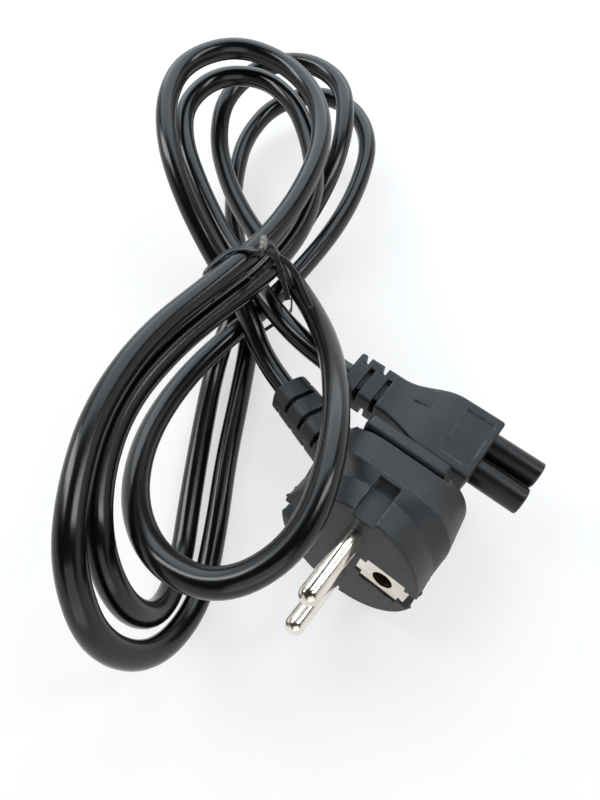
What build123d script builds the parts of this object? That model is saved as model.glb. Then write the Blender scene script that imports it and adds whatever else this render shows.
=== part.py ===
from build123d import *
import math
import os

# Laptop power cord: an angled two-pin earthed mains plug, a three-hole laptop connector and the
# cord between them, tied in an open figure-eight hank. Millimetres, Z up, Z = 0 on the table.
# The origin is below the middle of the box round the plug and the connector.
# The plug and the connector are built in their own frames and then laid down in place.

# Where the plug's face centre lies, and how far its pins point up from level
PLUG_AT = (7.1, -13.9, 21.53)
PLUG_LEAN = 15.0
# Where the middle of the connector's front lies, its nose pointing along +X
CONNECTOR_AT = (20.3, 25.5, 20.5)

# Plug: face, pins and earth, in a frame with -Y along the pins and +X toward the earth hole
FACE_RADIUS = 18.5
FACE_DEPTH = 11.5
PIN_RADIUS = 2.4
PIN_LENGTH = 19.0
PIN_OFFSET = 9.5
PIN_SHANK_RADIUS = 1.9
PIN_SHANK_LENGTH = 10.0
CRIMP_RADIUS = 1.9
CRIMP_LENGTH = 4.5
CRIMP_FLOOR = 0.5
EARTH_OFFSET = 10.0
EARTH_HOLE_RADIUS = 2.5
EARTH_TUBE_RADIUS = 3.3
EARTH_TUBE_LENGTH = 18.0
EARTH_TUBE_END = 1.0
EARTH_PLATE_WIDTH = 8.8
EARTH_PLATE_SPAN = 10.0
EARTH_TAB_WIDTH = 5.6
EARTH_TAB_REACH = 6.6
EARTH_PLATE_THICK = 0.8
EARTH_PLATE_SINK = 0.4
CLIP_WIDTH = 5.4
CLIP_DEPTH = 14.5
CLIP_BOW_START = 5.0
CLIP_BOW_END = 12.0
CLIP_BOW = 1.0
FAR_CLIP_START = 2.4
CLIP_CHANNEL_FLOOR = 15.6
CLIP_CHANNEL_WIDTH = 6.2
CLIP_END_GAP = 0.6
GROOVE_WIDTH = 5.4
GROOVE_LENGTH = 10.5
GROOVE_FLOOR = 16.2
GROOVE_RAMP = 2.6
FACE_EDGE = 0.5
BRIDGE_START = 3.0
BRIDGE_END = 9.0
BRIDGE_WIDTH = 11.0
BRIDGE_MARGIN = 2.1

# Plug: rear body, whose underside slopes so that the leaning plug lies flat on the table
REAR_WIDTH = 37.0
REAR_HEIGHT = 38.4
REAR_DEPTH = 12.5
REAR_CORNER = 13.0
FAIRING_START = 7.0
NECK_STEP = 0.15
NECK_CORNER = 18
BACK_WIDTH = 34.4
BACK_CORNER = 9.0
BACK_EDGE = 2.4
GRIP_LENGTH = 22.5
GRIP_CENTRE = -2.5
GRIP_THICK = 3.2
GRIP_TOP = 15.6
GRIP_FOOT = 8.0
GRIP_EDGE = 1.2
GRIP_GAP = 1.8
GRIP_GAP_FOOT = 11.6
GRIP_ROOT = 2.0
GRIP_OVERCUT = 0.2

# Plug: strain relief, a jointed sleeve that leaves the body backward on its -X side
RELIEF_START = (-12.07, 20.4)
RELIEF_TURN = 18.0
RELIEF_LENGTH = 28.0
RELIEF_END_SIZE = 11.0
RELIEF_BASE_SIZE = 12.4
RELIEF_ROOT_SIZE = 9.0
RELIEF_ROOT_DEPTH = 10.0
RELIEF_ROUNDNESS = 0.36
RELIEF_CORE_RADIUS = 3.5
RELIEF_SLOT = 1.4
RELIEF_PITCH = 6.2
RELIEF_SLOTS = 3
# Half the rib between a sleeve's two slotted faces, and where its slots lie in shares of the pitch
SLOT_RIB = 0.6
LONG_SLOT_AT = 0.95
SHORT_SLOT_AT = 0.45

# Cord and its three cores
CORD_DIAMETER = 6.2
CORE_RADIUS = 1.15
WIRE_RADIUS = 0.6
CORE_SPREAD = 1.4
CORE_BEND = 1.6
CORE_STRAIGHT = 3.4
CORE_ROOT = 1.5
EARTH_CORE_DEPTH = 11.0
EARTH_CORE_STRAIGHT = 3.5

# Connector: front block, shoulder, comb and three-lobed nose, in a frame with +X along the nose
BLOCK_WIDTH = 18.6
BLOCK_HEIGHT = 14.4
BLOCK_LENGTH = 11.0
BLOCK_EDGE = 0.8
LABEL_LENGTH = 7.6
LABEL_WIDTH = 13.4
LABEL_SINK = 0.3
SHOULDER_LENGTH = 16.0
COMB_LENGTH = 13.0
COMB_WIDTH = 11.6
COMB_HEIGHT = 10.0
COMB_CORE_RADIUS = 3.5
COMB_SLOT = 1.5
COMB_PITCH = 5.4
COMB_SLOTS = 2
NOSE_LENGTH = 13.0
LOBE_RADIUS = 3.55
LOBE_SPREAD = 4.0
LOBE_RISE = 2.4
LOBE_DROP = 3.7
LOBE_EDGE = 0.5
LOBE_WEB = 4.8
LOBE_ROOT = 1.0
SOCKET_RADIUS = 1.25
SOCKET_LIP = 1.0
CONTACT_TAIL = 4.0
CONTACT_FLOOR = 1.0
CONTACT_CORE_START = 9.0
CONTACT_CORE_STRAIGHT = 3.0
SLEEVE_RADIUS = 1.8
INSERT_LENGTH = 7.0
INSERT_WIDTH = 15.0
INSERT_HEIGHT = 11.4

# Twist tie: a flat ribbon round the eight strands, with a twisted knot on top and two tails
TIE_WIDTH = 1.4
TIE_THICK = 0.6
TIE_AT = (-55.0, 33.0)
TIE_TURN = 37.9
TIE_CORNER = 1.8
# Inner outline of the ribbon in its own upright plane, as across and height
TIE_OUTLINE = [
    (-9.5, 0.75), (-3.0, 0.75), (13.9, 18.0), (13.9, 25.5), (1.8, 41.9),
    (-7.0, 41.9), (-15.0, 12.0), (-15.0, 5.5),
]
KNOT_RADIUS = 1.5
KNOT_LENGTH = 4.6
KNOT_AT = (-53.4, 31.8, 43.5)
TAIL_BEND = 3.0
TAILS = [
    [(-52.6, 30.9, 43.4), (-45.8, 28.6, 40.5), (-41.1, 25.9, 36.5)],
    [(-52.6, 31.2, 43.6), (-43.1, 31.4, 40.2), (-35.3, 28.3, 35.5)],
]

# Corners of the cord's route between its two ends, from the plug to the connector
ROUTE = [
    (-56.5, 26, 18.6), (-72, 31.5, 22), (-88, 37.5, 31), (-103, 46.5, 38),
    (-115.5, 59.5, 41.5), (-122.5, 76, 42.3), (-116, 93, 41.8), (-99, 98, 40), (-81.5, 92, 38.8),
    (-68.5, 78, 38), (-61, 59, 37.5), (-57, 38, 37.5), (-57, 15.5, 40), (-55.5, -6.5, 45),
    (-49, -26, 49), (-40, -40.5, 49.8), (-29.5, -52.5, 48.5), (-19, -60.5, 36), (-12.5, -57, 17.5),
    (-15.5, -42.5, 3.3), (-25, -26, 3.3), (-36, -9.5, 3.3), (-46, 8, 3.4), (-56.5, 25.5, 4),
    (-68.5, 39, 3.9), (-83, 50.5, 4), (-97, 63.5, 4.5), (-107.5, 78, 6), (-115.5, 93.5, 7.5),
    (-116.5, 112, 10), (-104.5, 125, 12.5), (-87, 124, 14), (-72.5, 113, 13.5), (-64.5, 95.5, 11.5),
    (-59.5, 75.5, 10.4), (-57.5, 53.5, 10.5), (-57, 32, 11), (-58, 13, 13.5), (-55.5, -6, 17.5),
    (-47.5, -23.5, 25), (-34.5, -36.5, 34), (-19, -42, 41.5), (-4.5, -38, 45.5), (1.5, -22.5, 47.5),
    (-4.5, -4.5, 47), (-15, 11.5, 40), (-28, 26, 30), (-44.5, 38, 22), (-62.5, 46.5, 18.3),
    (-81, 54.5, 15.5), (-98, 64, 15.5), (-112.5, 75.5, 18.5), (-122, 91, 22), (-120.5, 108.5, 25),
    (-107.5, 119.5, 27), (-90, 117.5, 27.5), (-77.5, 104, 26.5), (-69.5, 86.5, 21),
    (-66.5, 65.5, 13.8), (-65.5, 44, 10.8), (-64.5, 28, 10), (-58.5, 11, 3.8), (-48, -6, 3.3),
    (-36.5, -23.5, 3.3), (-25, -40, 3.3), (-19, -50.5, 14), (-21.5, -53, 29.5), (-30.5, -47.5, 40.5),
    (-41.5, -36.5, 41.8), (-50, -21.5, 40.5), (-53.5, -3.5, 37.5), (-54.5, 15.5, 33),
    (-54.5, 34.5, 29.8), (-57, 53, 29.5), (-64.5, 69.5, 30), (-78, 83.5, 30.8), (-92, 93.5, 31.5),
    (-108, 97, 32), (-121, 88, 32), (-120.5, 71, 31.5), (-109.5, 58, 29.5), (-94.5, 49, 25),
    (-80, 42, 21), (-65, 36.6, 19.8), (-50.5, 29.8, 20.4),
]
# How far the cord runs on straight behind the strain relief and behind the comb
LEAD = 13.0
# How much of the shorter run beside a corner its arc may take
ARC_SHARE = 0.45


def box(x, y, z):
    """A block between two values on each axis."""
    centre = ((x[0] + x[1]) / 2, (y[0] + y[1]) / 2, (z[0] + z[1]) / 2)
    return Pos(*centre) * Box(x[1] - x[0], y[1] - y[0], z[1] - z[0])


def rod_y(radius, start, end, x=0.0, z=0.0):
    """A round bar along Y."""
    return Pos(x, (start + end) / 2, z) * Rot(90, 0, 0) * Cylinder(radius, end - start)


def rod_x(radius, start, end, y=0.0, z=0.0):
    """A round bar along X."""
    return Pos((start + end) / 2, y, z) * Rot(0, 90, 0) * Cylinder(radius, end - start)


def corner_radii(points):
    """Each corner's arc radius: a share of the shorter run over the tangent of half the turn."""
    radii = []
    for before, corner, after in zip(points, points[1:], points[2:]):
        come = Vector(*corner) - Vector(*before)
        go = Vector(*after) - Vector(*corner)
        half_turn = math.radians(come.get_angle(go)) / 2
        radii.append(ARC_SHARE * min(come.length, go.length) / math.tan(half_turn))
    return radii


def tube(points, radius, bend=None):
    """A round tube along straight runs joined by arcs, and the length of its path."""
    radii = corner_radii(points)
    if bend is not None:
        radii = [min(bend, r) for r in radii]
    path = FilletPolyline(*points, radius=radii)
    start = Plane(origin=path @ 0, z_dir=path % 0)
    return sweep(start * Circle(radius), path=path), path.length, radii


def place_plug(shape):
    """Lays a plug piece down, its pins pointing up by the lean."""
    return Pos(*PLUG_AT) * Rot(-PLUG_LEAN, 0, 0) * shape


def place_connector(shape):
    """Lays a connector piece in place."""
    return Pos(*CONNECTOR_AT) * shape


# Strain relief axis in the plug's frame
RELIEF_WAY = (-math.cos(math.radians(RELIEF_TURN)), math.sin(math.radians(RELIEF_TURN)))
RELIEF_PLANE = Plane(
    origin=(RELIEF_START[0], RELIEF_START[1], 0),
    x_dir=(-RELIEF_WAY[1], RELIEF_WAY[0], 0),
    z_dir=(RELIEF_WAY[0], RELIEF_WAY[1], 0),
)


def on_relief(across, up, along):
    """A point of the plug's frame from its place on the strain relief's axis."""
    return tuple((RELIEF_PLANE.location * Pos(across, up, along)).position)


def slot_pair(size, core, width):
    """One long and one short slot across a sleeve along Z, as two tools, the long one open at +X."""
    quarter = size / 4
    long_slot = box((-quarter, size), (core, size), (-width / 2, width / 2))
    long_slot += box((core, size), (SLOT_RIB, size), (-width / 2, width / 2))
    short_slot = box((-size, -core), (SLOT_RIB, size), (-width / 2, width / 2))
    short_slot += box((-size, -quarter), (core, size), (-width / 2, width / 2))
    return long_slot, short_slot


def slot_rows(size, core, width, pitch, count):
    """Rows of slots, long ones on one face and their mirror on the other, short ones between."""
    rows = []
    for index in range(count):
        long_slot, short_slot = slot_pair(size, core, width)
        for turn in (0, 180):
            rows.append(Rot(0, 0, turn) * Pos(0, 0, -pitch * (index + LONG_SLOT_AT)) * long_slot)
            rows.append(Rot(0, 0, turn) * Pos(0, 0, -pitch * (index + SHORT_SLOT_AT)) * short_slot)
    return rows


def relief_section(along, size):
    """Rounded square section of the strain relief at a place on its axis."""
    return RELIEF_PLANE.offset(along) * RectangleRounded(size, size, size * RELIEF_ROUNDNESS)


def relief_shape():
    """Strain relief: a tapered sleeve whose root fades into the body, with rows of slots."""
    base = relief_section(0, RELIEF_BASE_SIZE)
    sleeve = loft([base, relief_section(RELIEF_LENGTH, RELIEF_END_SIZE)])
    sleeve += loft([relief_section(-RELIEF_ROOT_DEPTH, RELIEF_ROOT_SIZE), base])
    end = RELIEF_PLANE.offset(RELIEF_LENGTH).location
    for row in slot_rows(RELIEF_BASE_SIZE, RELIEF_CORE_RADIUS, RELIEF_SLOT, RELIEF_PITCH, RELIEF_SLOTS):
        sleeve -= end * row
    return sleeve


def plug_shell():
    """Outer shape of the plug's moulding, solid inside."""
    face = rod_y(FACE_RADIUS, 0, FAIRING_START)
    front = fillet(face.edges().sort_by(Axis.Y)[0], FACE_EDGE)
    back_height = REAR_HEIGHT - 2 * REAR_DEPTH * math.tan(math.radians(PLUG_LEAN))
    rear_plane = Plane(origin=(0, FACE_DEPTH, 0), x_dir=(1, 0, 0), z_dir=(0, 1, 0))
    widest = rear_plane * RectangleRounded(REAR_WIDTH, REAR_HEIGHT, REAR_CORNER)
    across = 2 * (FACE_RADIUS - NECK_STEP)
    neck = rear_plane.offset(FAIRING_START - FACE_DEPTH) * RectangleRounded(across, across, NECK_CORNER)
    fairing = loft([neck, widest])
    rear = loft([
        widest,
        rear_plane.offset(REAR_DEPTH) * RectangleRounded(BACK_WIDTH, back_height, BACK_CORNER),
    ])
    back = FACE_DEPTH + REAR_DEPTH
    rear = fillet(rear.faces().sort_by(Axis.Y)[-1].edges(), BACK_EDGE)
    grip_x = (GRIP_CENTRE - GRIP_LENGTH / 2, GRIP_CENTRE + GRIP_LENGTH / 2)
    grip = box(grip_x, (back - GRIP_EDGE, back + GRIP_THICK), (GRIP_FOOT, GRIP_TOP))
    grip = fillet(grip.edges(), GRIP_EDGE)
    grip += box((grip_x[0] + GRIP_EDGE, grip_x[1] - GRIP_EDGE), (back - GRIP_GAP - GRIP_ROOT, back),
                (GRIP_FOOT + GRIP_EDGE, GRIP_GAP_FOOT))
    gap_x = (grip_x[0] - GRIP_EDGE, grip_x[1] + GRIP_EDGE)
    gap_y = (back - GRIP_GAP - GRIP_EDGE, back + GRIP_OVERCUT)
    grip_gap = box(gap_x, gap_y, (GRIP_GAP_FOOT, REAR_HEIGHT / 2))
    shell = front + fairing + rear - (grip_gap - grip) + grip + relief_shape()
    for side in (1, -1):
        groove_z = sorted((side * GROOVE_FLOOR, side * (FACE_RADIUS + 2)))
        groove_x = (-GROOVE_WIDTH / 2, GROOVE_WIDTH / 2)
        shell -= box(groove_x, (-1, GROOVE_LENGTH - GROOVE_RAMP), groove_z)
        ramp_at = (GROOVE_LENGTH - GROOVE_RAMP, side * (GROOVE_FLOOR + GROOVE_RAMP))
        shell -= Pos(0, *ramp_at) * Rot(0, 90, 0) * Cylinder(GROOVE_RAMP, GROOVE_WIDTH)
        channel_x = sorted((side * CLIP_CHANNEL_FLOOR, side * (FACE_RADIUS + 2)))
        half = CLIP_CHANNEL_WIDTH / 2
        shell -= box(channel_x, (-1, CLIP_DEPTH + CLIP_END_GAP), (-half, half))
    return shell


def pin():
    """One contact pin: round tip, full-size length in front of the face, shank and crimp behind."""
    tip = PIN_LENGTH - PIN_RADIUS
    body = rod_y(PIN_RADIUS, -tip, 0) + Pos(0, -tip, 0) * Sphere(PIN_RADIUS)
    shank = rod_y(PIN_SHANK_RADIUS, 0, PIN_SHANK_LENGTH)
    barrel = rod_y(CRIMP_RADIUS, PIN_SHANK_LENGTH, PIN_SHANK_LENGTH + CRIMP_LENGTH)
    bore_start = PIN_SHANK_LENGTH + CRIMP_FLOOR
    bore = rod_y(WIRE_RADIUS, bore_start, PIN_SHANK_LENGTH + CRIMP_LENGTH + 1)
    return body + shank + barrel - bore


def plate_outline(low, high):
    """The stepped plate on the face, between two depths."""
    half = EARTH_PLATE_SPAN / 2
    wide = EARTH_PLATE_WIDTH / 2
    tab = EARTH_TAB_WIDTH / 2
    plate = box((EARTH_OFFSET - half, EARTH_OFFSET + half), (low, high), (-wide, wide))
    reach = (EARTH_OFFSET - EARTH_TAB_REACH, CLIP_CHANNEL_FLOOR + EARTH_PLATE_THICK)
    return plate + box(reach, (low, high), (-tab, tab))


def side_clip(start):
    """A sprung clip on the floor of the +X side channel, bowed outward in its middle."""
    half = CLIP_WIDTH / 2
    floor = CLIP_CHANNEL_FLOOR
    outer = floor + EARTH_PLATE_THICK
    clip = box((floor, outer), (start, CLIP_DEPTH), (-half, half))
    return clip + box((outer, outer + CLIP_BOW), (CLIP_BOW_START, CLIP_BOW_END), (-half, half))


def earth_strap():
    """Earth contact: the stepped plate on the face and a sprung clip down the side channel."""
    under = EARTH_PLATE_SINK + EARTH_PLATE_THICK
    strap = plate_outline(EARTH_PLATE_SINK, under) + side_clip(EARTH_PLATE_SINK)
    return strap - rod_y(EARTH_HOLE_RADIUS, -1, under + 1, EARTH_OFFSET)


def far_clip():
    """The other earth clip, on the cord's side, which starts further in."""
    return mirror(side_clip(FAR_CLIP_START), about=Plane.YZ)


def earth_tube():
    """Round socket behind the earth hole."""
    start = EARTH_PLATE_SINK + EARTH_PLATE_THICK
    tube_wall = rod_y(EARTH_TUBE_RADIUS, start, EARTH_TUBE_LENGTH, EARTH_OFFSET)
    bore_end = EARTH_TUBE_LENGTH - EARTH_TUBE_END
    return tube_wall - rod_y(EARTH_HOLE_RADIUS, start - 1, bore_end, EARTH_OFFSET)


def core_place(index, first):
    """Where a core lies round the cord's middle, as across and up, the first at a given angle."""
    angle = math.radians(first + 120 * index)
    return CORE_SPREAD * math.cos(angle), CORE_SPREAD * math.sin(angle)


def plug_cores():
    """The three cores from the end of the sleeve to the two crimps and the earth tube."""
    crimp_end = PIN_SHANK_LENGTH + CRIMP_LENGTH
    run_start = crimp_end + CORE_STRAIGHT
    tube_side = EARTH_OFFSET - EARTH_TUBE_RADIUS
    ends = [
        [(0, run_start, PIN_OFFSET), (0, crimp_end, PIN_OFFSET)],
        [(0, run_start, -PIN_OFFSET), (0, crimp_end, -PIN_OFFSET)],
        [(tube_side - EARTH_CORE_STRAIGHT, EARTH_CORE_DEPTH, 0), (tube_side, EARTH_CORE_DEPTH, 0)],
    ]
    cores = []
    for index, finish in enumerate(ends):
        across, up = core_place(index, 90)
        points = [on_relief(across, up, RELIEF_LENGTH), on_relief(across, up, CORE_ROOT)] + finish
        cores.append(tube(points, CORE_RADIUS, CORE_BEND)[0])
    return cores


def connector_outline(lengths, halves):
    """Half outlines joined as one closed face: straight block, curved shoulder, straight comb."""
    block, shoulder, comb = lengths
    wide, narrow = halves
    top = [
        Line((0, wide), (-block, wide)),
        Spline((-block, wide), (-block - shoulder, narrow), tangents=[(-1, 0), (-1, 0)]),
        Line((-block - shoulder, narrow), (-block - shoulder - comb, narrow)),
    ]
    low = [mirror(edge, about=Plane.XZ) for edge in top]
    total = block + shoulder + comb
    ends = [Line((0, wide), (0, -wide)), Line((-total, narrow), (-total, -narrow))]
    return make_face(top + low + ends)


def connector_shell():
    """Outer shape of the connector's moulding, solid inside, with the slotted comb behind."""
    lengths = (BLOCK_LENGTH, SHOULDER_LENGTH, COMB_LENGTH)
    plan = connector_outline(lengths, (BLOCK_WIDTH / 2, COMB_WIDTH / 2))
    side = connector_outline(lengths, (BLOCK_HEIGHT / 2, COMB_HEIGHT / 2))
    shell = extrude(plan, BLOCK_HEIGHT, both=True)
    shell &= Rot(90, 0, 0) * extrude(side, BLOCK_WIDTH, both=True)
    shell = fillet(shell.edges().filter_by(lambda edge: edge.length > BLOCK_EDGE), BLOCK_EDGE)
    end = Pos(-sum(lengths), 0, 0) * Rot(0, -90, 0)
    for row in slot_rows(COMB_WIDTH, COMB_CORE_RADIUS, COMB_SLOT, COMB_PITCH, COMB_SLOTS):
        shell -= end * Rot(0, 0, -90) * row
    top = BLOCK_HEIGHT / 2
    label = Pos(-BLOCK_LENGTH / 2, 0, top) * Box(LABEL_LENGTH, LABEL_WIDTH, 2 * LABEL_SINK)
    return shell - label


LOBES = [(LOBE_SPREAD, LOBE_RISE), (-LOBE_SPREAD, LOBE_RISE), (0.0, -LOBE_DROP)]


def connector_insert():
    """Hard three-lobed nose with its foot inside the moulding, bored for the contacts."""
    nose = box((-INSERT_LENGTH, 0), (-INSERT_WIDTH / 2, INSERT_WIDTH / 2),
               (-INSERT_HEIGHT / 2, INSERT_HEIGHT / 2))
    for y, z in LOBES:
        lobe = rod_x(LOBE_RADIUS, -LOBE_ROOT, NOSE_LENGTH, y, z)
        nose += fillet(lobe.edges().sort_by(Axis.X)[-1], LOBE_EDGE)
    web = (-LOBE_WEB / 2, LOBE_WEB / 2)
    nose += box((0, NOSE_LENGTH - LOBE_EDGE), web, (-LOBE_DROP, LOBE_RISE))
    for y, z in LOBES:
        nose -= rod_x(SOCKET_RADIUS, NOSE_LENGTH - SOCKET_LIP - 1, NOSE_LENGTH + 1, y, z)
        nose -= rod_x(SLEEVE_RADIUS, -INSERT_LENGTH - 1, NOSE_LENGTH - SOCKET_LIP, y, z)
    return nose


def contact():
    """One socket contact: a round sleeve that takes the pin, with a crimp behind."""
    tail = -INSERT_LENGTH - CONTACT_TAIL
    sleeve = rod_x(SLEEVE_RADIUS, tail, NOSE_LENGTH - SOCKET_LIP)
    sleeve -= rod_x(SOCKET_RADIUS, 0, NOSE_LENGTH)
    return sleeve - rod_x(WIRE_RADIUS, tail - 1, tail + CONTACT_TAIL - CONTACT_FLOOR)


def connector_cores():
    """The three cores from the comb's end to the crimps."""
    comb_end = -(BLOCK_LENGTH + SHOULDER_LENGTH + COMB_LENGTH)
    crimp = -INSERT_LENGTH - CONTACT_TAIL
    cores = []
    for index, (y, z) in zip((1, 2, 0), LOBES):
        across, up = core_place(index, 270)
        points = [
            (comb_end, across, up), (crimp - CONTACT_CORE_START, across, up),
            (crimp - CONTACT_CORE_STRAIGHT, y, z), (crimp, y, z),
        ]
        cores.append(tube(points, CORE_RADIUS, CORE_BEND)[0])
    return cores


def tie_plane():
    """Upright plane of the tie's loop, X across the hank and Y up."""
    turn = math.radians(TIE_TURN)
    return Plane(
        origin=(TIE_AT[0], TIE_AT[1], 0),
        x_dir=(math.cos(turn), math.sin(turn), 0),
        z_dir=(math.sin(turn), -math.cos(turn), 0),
    )


def twist_tie():
    """The ribbon's loop round the hank, its twisted knot and its two tails."""
    inside = make_face(Polyline(*TIE_OUTLINE, close=True))
    inside = fillet(inside.vertices(), TIE_CORNER)
    band = offset(inside, TIE_THICK) - inside
    tie = extrude(tie_plane() * band, TIE_WIDTH / 2, both=True)
    way = tie_plane().z_dir
    knot_plane = Plane(origin=Vector(*KNOT_AT) - way * (KNOT_LENGTH / 2), z_dir=way)
    tie += extrude(knot_plane * Circle(KNOT_RADIUS), KNOT_LENGTH)
    for tail in TAILS:
        path = FilletPolyline(*tail, radius=TAIL_BEND)
        start = Plane(origin=path @ 0, x_dir=(0, 0, 1), z_dir=path % 0)
        tie += sweep(start * Rectangle(TIE_THICK, TIE_WIDTH), path=path)
    return tie


def save(node, shape):
    """Writes one piece as a STEP file of its own."""
    solids = shape.solids()
    piece = solids[0] if len(solids) == 1 else Compound(children=list(solids))
    export_step(piece, f"parts/{node}.step")
    return piece


def main():
    """Builds every piece and writes it."""
    os.makedirs("parts", exist_ok=True)
    plug = {}
    plug["pin_line"] = Pos(0, 0, PIN_OFFSET) * pin()
    plug["pin_neutral"] = Pos(0, 0, -PIN_OFFSET) * pin()
    plug["earth_strap"] = earth_strap()
    plug["earth_clip"] = far_clip()
    plug["earth_socket"] = earth_tube()
    crimp_start = PIN_SHANK_LENGTH + CRIMP_FLOOR
    for name, side in (("brown", 1), ("blue", -1)):
        wire = rod_y(WIRE_RADIUS, crimp_start, PIN_SHANK_LENGTH + CRIMP_LENGTH, 0, side * PIN_OFFSET)
        plug[f"plug_wire_{name}"] = wire
    for name, core in zip(("brown", "blue", "earth"), plug_cores()):
        plug[f"plug_core_{name}"] = core
    bridge_reach = PIN_OFFSET + PIN_SHANK_RADIUS + BRIDGE_MARGIN
    bridge_x = (-BRIDGE_WIDTH / 2, BRIDGE_WIDTH / 2)
    bridge = box(bridge_x, (BRIDGE_START, BRIDGE_END), (-bridge_reach, bridge_reach))
    for piece in ("pin_line", "pin_neutral"):
        bridge -= plug[piece]
    plug["plug_bridge"] = bridge
    body = plug_shell()
    for piece in plug.values():
        body -= piece
    body -= plate_outline(-1, EARTH_PLATE_SINK)
    body -= rod_y(EARTH_HOLE_RADIUS, 0, EARTH_TUBE_LENGTH - EARTH_TUBE_END, EARTH_OFFSET)
    plug["plug_body"] = body

    connector = {"connector_insert": connector_insert()}
    names = ("line", "neutral", "earth")
    for name, (y, z), core in zip(names, LOBES, connector_cores()):
        connector[f"contact_{name}"] = Pos(0, y, z) * contact()
        crimp = -INSERT_LENGTH - CONTACT_TAIL
        wire = rod_x(WIRE_RADIUS, crimp, crimp + CONTACT_TAIL - CONTACT_FLOOR, y, z)
        connector[f"connector_wire_{name}"] = wire
        connector[f"connector_core_{name}"] = core
    moulding = connector_shell()
    for piece in connector.values():
        moulding -= piece
    connector["connector_body"] = moulding

    for node, shape in plug.items():
        save(node, place_plug(shape))
    for node, shape in connector.items():
        save(node, place_connector(shape))

    ends = [place_plug(Pos(*on_relief(0, 0, RELIEF_LENGTH + more))) for more in (0, LEAD)]
    start = [tuple(end.position) for end in ends]
    comb_end = CONNECTOR_AT[0] - BLOCK_LENGTH - SHOULDER_LENGTH - COMB_LENGTH
    finish = [(comb_end - more, CONNECTOR_AT[1], CONNECTOR_AT[2]) for more in (LEAD, 0)]
    cord, length, radii = tube(start + ROUTE + finish, CORD_DIAMETER / 2)
    section = math.pi * (CORD_DIAMETER / 2) ** 2
    for point in start + finish:
        print("cord end", [round(v, 2) for v in point])
    print(f"cord length {length:.0f}, volume over section times length {cord.volume / section / length:.4f}")
    print("radii in diameters", [round(r / CORD_DIAMETER, 1) for r in radii])
    save("cord", cord)
    save("twist_tie", twist_tie())


if __name__ == "__main__":
    main()
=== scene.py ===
"""Looks of the laptop power cord: its finishes, the cord's smooth line, the twist tie and the studio."""

import logging
import math
import random
from dataclasses import dataclass, field
from enum import Enum

import bpy
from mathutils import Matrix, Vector


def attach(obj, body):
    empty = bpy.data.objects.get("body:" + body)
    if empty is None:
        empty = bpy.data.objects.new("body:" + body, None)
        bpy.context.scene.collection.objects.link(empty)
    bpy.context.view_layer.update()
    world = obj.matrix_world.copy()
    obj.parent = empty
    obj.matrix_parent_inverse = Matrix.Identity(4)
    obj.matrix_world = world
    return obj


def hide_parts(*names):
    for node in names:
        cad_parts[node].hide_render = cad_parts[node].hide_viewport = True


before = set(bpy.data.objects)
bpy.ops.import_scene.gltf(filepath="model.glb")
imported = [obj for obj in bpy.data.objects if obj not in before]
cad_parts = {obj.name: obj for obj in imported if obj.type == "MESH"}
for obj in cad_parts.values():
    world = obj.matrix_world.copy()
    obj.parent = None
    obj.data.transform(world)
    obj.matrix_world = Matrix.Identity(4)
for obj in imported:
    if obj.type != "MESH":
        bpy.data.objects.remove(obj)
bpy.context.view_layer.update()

log = logging.getLogger("laptop_power_cord")

Point = tuple[float, float, float]
Colour = tuple[float, float, float]
Span = tuple[float, float]
Face = tuple[int, ...]
Socket = bpy.types.NodeSocket
Material = bpy.types.Material
Object = bpy.types.Object

MM = 0.001
WHITE = (1.0, 1.0, 1.0, 1.0)
FULL: Span = (0.0, 1.0)
# The range that most of a noise field lies in
MIDDLE: Span = (0.3, 0.7)
NOISE_ROUGHNESS = 0.55
BEVEL_SAMPLES = 8
RANGE_SOCKETS = ("From Min", "From Max", "To Min", "To Max")


def vec(point: Point) -> Vector:
    """A point given in millimetres, in metres."""
    return Vector(point) * MM


def link_new(name: str, data: bpy.types.ID) -> Object:
    """Adds an object to the scene.

    Args:
        name: what it is called.
        data: its mesh, curve, light or camera.

    Returns:
        The object.
    """
    thing = bpy.data.objects.new(name, data)
    bpy.context.scene.collection.objects.link(thing)
    return thing


def mesh_piece(name: str, points: list[Point], faces: list[Face], material: Material) -> Object:
    """Makes a mesh object that rides on the root body.

    Args:
        name: what it is called.
        points: its corners, in metres.
        faces: its faces, by their corners' places in the list.
        material: what it is made of.

    Returns:
        The object.
    """
    mesh = bpy.data.meshes.new(name)
    mesh.from_pydata(points, [], faces)
    mesh.materials.append(material)
    piece = link_new(name, mesh)
    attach(piece, "root")
    log.info("%s: %d faces", name, len(faces))
    return piece


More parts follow.
